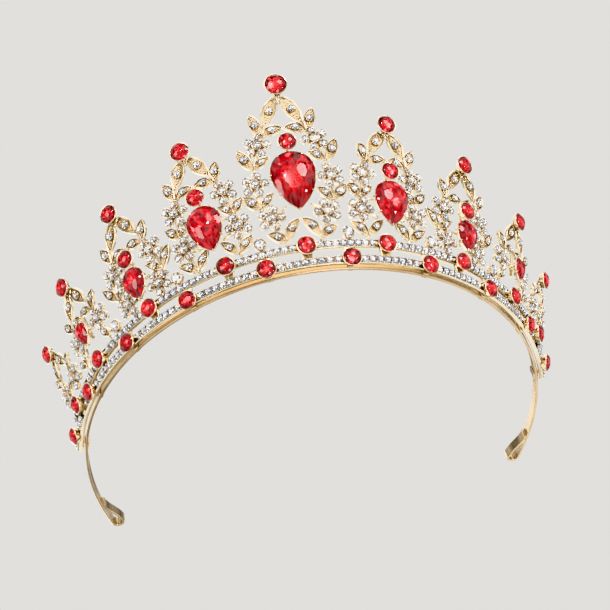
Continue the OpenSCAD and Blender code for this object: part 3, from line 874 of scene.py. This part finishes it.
def peak(k):
    """One peak and its four pieces. k counts from -4 at the left end to 4 at the right end."""
    a, name = abs(k), NAMES[k + 4]
    out = -1 if k < 0 else 1
    s = Spot(out * PEAK_S[a])
    s.turn = out * math.radians(PEAK_TURN[a])
    gold, stones, cups, reds = Build(), Build(), Build(), Build()
    foliage(gold, stones, s, a, out)
    backing(gold, s, a)
    neck(gold, s, a)
    place = Place(s, 0, BALL_H[a], 0)
    red_cup(cups, place, BALL_R[a], lugs=())
    red_round(reds, place, BALL_R[a], RED_SEAT)
    if a < 3:
        hanging_stone(cups, reds, s, a)
    if a < 4:
        pear_stone(cups, reds, s, a)
    finish_piece(gold, name + "_cast", [GOLD_CAST, GOLD_SHADED_FLOOR], [name + "_casting"])
    finish_piece(stones, name + "_stones", CRYSTAL, [name + "_crystals"])
    finish_piece(cups, name + "_cups", [GOLD_CUP], [name + "_settings"])
    finish_piece(reds, name + "_reds", RUBY, [name + "_red_stones"])


for k in range(-4, 5):
    peak(k)

# ---------------------------------------------------------------- headband strip, its arms and eyes
MID_R = STRIP_R + STRIP_T / 2
ROOT = math.radians(ROOT_T)
ARM_CENTRE = np.array([(MID_R - ARM_R) * math.sin(ROOT), -(MID_R - ARM_R) * math.cos(ROOT)])
ARM_START = math.radians(ROOT_T - 90)


def strip_path():
    """Plan route of the right half's middle line: round the front, along the arm and round its eye."""
    pts = [np.array([MID_R * math.sin(t), -MID_R * math.cos(t)]) for t in np.linspace(0, ROOT, 70)]
    turn = math.radians(ARM_TURN)
    for q in np.linspace(0, turn, 34)[1:]:
        t = ARM_START + q
        pts.append(ARM_CENTRE + ARM_R * np.array([math.cos(t), math.sin(t)]))
    t = ARM_START + turn
    radial, tangent = np.array([math.cos(t), math.sin(t)]), np.array([-math.sin(t), math.cos(t)])
    bend = EYE_R - STRIP_T / 2
    head = ARM_CENTRE + (ARM_R - bend) * radial
    for q in np.linspace(0, math.radians(188), 22)[1:]:
        pts.append(head + bend * (math.cos(q) * radial + math.sin(q) * tangent))
    tip_t = t - EYE_LEN / ARM_R
    end = ARM_CENTRE + (ARM_R - STRIP_T * 0.94) * np.array([math.cos(tip_t), math.sin(tip_t)])
    start = pts[-1]
    away = pts[-1] - pts[-2]
    away /= np.linalg.norm(away)
    back = -np.array([-math.sin(tip_t), math.cos(tip_t)])
    reach = np.linalg.norm(end - start)
    p1, p2 = start + away * reach * 0.4, end - back * reach * 0.35
    for u in np.linspace(0, 1, 18)[1:]:
        v = 1 - u
        pts.append(v ** 3 * start + 3 * v ** 2 * u * p1 + 3 * v * u * u * p2 + u ** 3 * end)
    return pts


def strip_half(m, name, nodes):
    """Half the headband with its arm, as one mesh that bends across the hinge."""
    b = Build()
    path = strip_path()
    half, e = STRIP_T / 2, 0.14
    section = [(half - e, 0), (half, e), (half, STRIP_W - e), (half - e, STRIP_W), (-half + e, STRIP_W),
               (-half, STRIP_W - e), (-half, e), (-half + e, 0)]
    rings = []
    for i, p in enumerate(path):
        d = path[min(i + 1, len(path) - 1)] - path[max(i - 1, 0)]
        d /= np.linalg.norm(d)
        side = np.array([d[1], -d[0]])
        rings.append([(m * (p[0] + side[0] * q), Y_MID + p[1] + side[1] * q, STRIP_Z + z)
                      for q, z in section][::m])
    b.rings(rings)
    obj = b.make(name, [GOLD_SHADED_STRIP])
    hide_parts(*nodes)
    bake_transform(obj)


strip_half(1, "strip_right", ["headband", "right_arm"])
strip_half(-1, "strip_left", ["headband", "left_arm"])


# ---------------------------------------------------------------- clips that hold the strip
def clip(b, t, length, wall):
    """Saddle over the strip at angle t: outer block, roof, and inner leg."""
    ca, sa = math.cos(t), math.sin(t)

    def place(pts):
        return [(x * ca + (STRIP_R + z) * sa, Y_MID + x * sa - (STRIP_R + z) * ca, STRIP_Z + y)
                for x, y, z in pts]

    top, gap, rise, outer = STRIP_W + wall, 0.05, 0.1, STRIP_T + 0.42
    tall, middle = top - rise, (top + rise) / 2
    brick(b, place, (length, tall, outer - STRIP_T - gap), (0, middle, (outer + STRIP_T + gap) / 2),
          edge=0.07)
    brick(b, place, (length, wall, outer + wall), (0, STRIP_W + wall / 2 + gap, (outer - wall) / 2),
          edge=0.08)
    brick(b, place, (length, tall, wall - gap), (0, middle, -(wall + gap) / 2), edge=0.07)


# Four band clips on each side, behind the lower red stones, and an end clip past each end of the row
b = Build()
for s in LOWER_RED_S[:4]:
    for m in (-1, 1):
        clip(b, m * s / R, 1.6, 0.3)
finish_piece(b, "strip_saddles", [GOLD_CUP], ["band_clips"])
for m, side in ((-1, "left"), (1, "right")):
    b = Build()
    clip(b, m * math.radians(CLIP_T), 2.4, 0.5)
    finish_piece(b, side + "_end_saddle", [GOLD_CUP], [side + "_end_clip"])

# ---------------------------------------------------------------- floor, light and camera
scene = bpy.context.scene
floor_mesh = bpy.data.meshes.new("floor")
floor_mesh.from_pydata([(-3, -3, 0), (3, -3, 0), (3, 3, 0), (-3, 3, 0)], [], [(0, 1, 2, 3)])
floor = bpy.data.objects.new("floor", floor_mesh)
floor.location.z = -0.0004
scene.collection.objects.link(floor)
# From below, and for light that passes or mirrors off the stones, the floor is see-through
mat, tree, shader = nodes_of("floor")
shader.inputs["Base Color"].default_value = (0.62, 0.61, 0.595, 1)
shader.inputs["Roughness"].default_value = 0.7
geometry, path = tree.nodes.new("ShaderNodeNewGeometry"), tree.nodes.new("ShaderNodeLightPath")
clear_node, mixer = tree.nodes.new("ShaderNodeBsdfTransparent"), tree.nodes.new("ShaderNodeMixShader")
value = geometry.outputs["Backfacing"]
for kind in ("Is Shadow Ray", "Is Glossy Ray", "Is Transmission Ray"):
    most = tree.nodes.new("ShaderNodeMath")
    most.operation = "MAXIMUM"
    tree.links.new(value, most.inputs[0])
    tree.links.new(path.outputs[kind], most.inputs[1])
    value = most.outputs[0]
tree.links.new(value, mixer.inputs["Fac"])
tree.links.new(shader.outputs["BSDF"], mixer.inputs[1])
tree.links.new(clear_node.outputs["BSDF"], mixer.inputs[2])
tree.links.new(mixer.outputs["Shader"], tree.nodes["Material Output"].inputs["Surface"])
floor_mesh.materials.append(mat)

# A cloudy studio for the metal and stones to mirror, and an even pale backdrop for the camera
BACKDROP = (0.80, 0.79, 0.77, 1)
world = bpy.data.worlds.new("studio")
scene.world = world
world.use_nodes = True
tree = world.node_tree
background = tree.nodes["Background"]
coord = tree.nodes.new("ShaderNodeTexCoord")
cloud = tree.nodes.new("ShaderNodeTexNoise")
cloud.inputs["Scale"].default_value = 3.4
cloud.inputs["Detail"].default_value = 1.5
ramp = tree.nodes.new("ShaderNodeValToRGB")
ramp.color_ramp.elements[0].position, ramp.color_ramp.elements[1].position = 0.40, 0.56
ramp.color_ramp.elements[0].color = (0.09, 0.088, 0.086, 1)
ramp.color_ramp.elements[1].color = (1.6, 1.58, 1.55, 1)
tree.links.new(coord.outputs["Generated"], cloud.inputs["Vector"])
tree.links.new(cloud.outputs["Fac"], ramp.inputs["Fac"])
path = tree.nodes.new("ShaderNodeLightPath")
mix = tree.nodes.new("ShaderNodeMix")
mix.data_type = "RGBA"
tree.links.new(path.outputs["Is Camera Ray"], mix.inputs["Factor"])
tree.links.new(ramp.outputs["Color"], mix.inputs["A"])
mix.inputs["B"].default_value = BACKDROP
tree.links.new(mix.outputs["Result"], background.inputs["Color"])


AIM = Vector((0, 0, 0.02))


def area(name, where, size, power):
    """Round warm light, in metres and watts, that faces the tiara."""
    light = bpy.data.lights.new(name, "AREA")
    light.shape, light.size, light.energy, light.color = "DISK", size, power, (1, 0.98, 0.95)
    obj = bpy.data.objects.new(name, light)
    obj.location = where
    obj.rotation_euler = (AIM - Vector(where)).to_track_quat("-Z", "Y").to_euler()
    scene.collection.objects.link(obj)


area("key", (0.35, -0.75, 0.18), 0.34, 3.4)
area("fill", (-0.70, -0.55, -0.10), 0.40, 2.2)
area("low", (0.15, -0.50, -0.62), 0.30, 1.8)
area("top", (0.10, 0.05, 0.90), 0.60, 2.6)
area("back", (-0.30, 0.80, 0.35), 0.40, 2.5)
area("spark_a", (-0.22, -0.85, 0.05), 0.07, 2.2)
area("spark_b", (0.62, -0.62, -0.28), 0.07, 2.0)

# Camera as fitted to the photo: its three axes, and its place in front of and below the band
camera_data = bpy.data.cameras.new("camera")
camera = bpy.data.objects.new("camera", camera_data)
scene.collection.objects.link(camera)
scene.camera = camera
camera_data.sensor_width = 36.0
camera_data.lens = 66.94
camera_data.clip_start, camera_data.clip_end = 0.01, 20.0
right, down, ahead = (0.9843, 0.0330, -0.1734), (-0.1457, 0.7064, -0.6927), (0.0996, 0.7070, 0.7001)
turn = Matrix((right, [-q for q in down], [-q for q in ahead])).transposed().to_4x4()
spot = Vector((-32.4, -274.6 + Y_MID, -216.0 + FACE_Z)) * MM
camera.matrix_world = Matrix.Translation(spot) @ turn

scene.view_settings.view_transform = "Khronos PBR Neutral"
scene.view_settings.exposure = 0.0
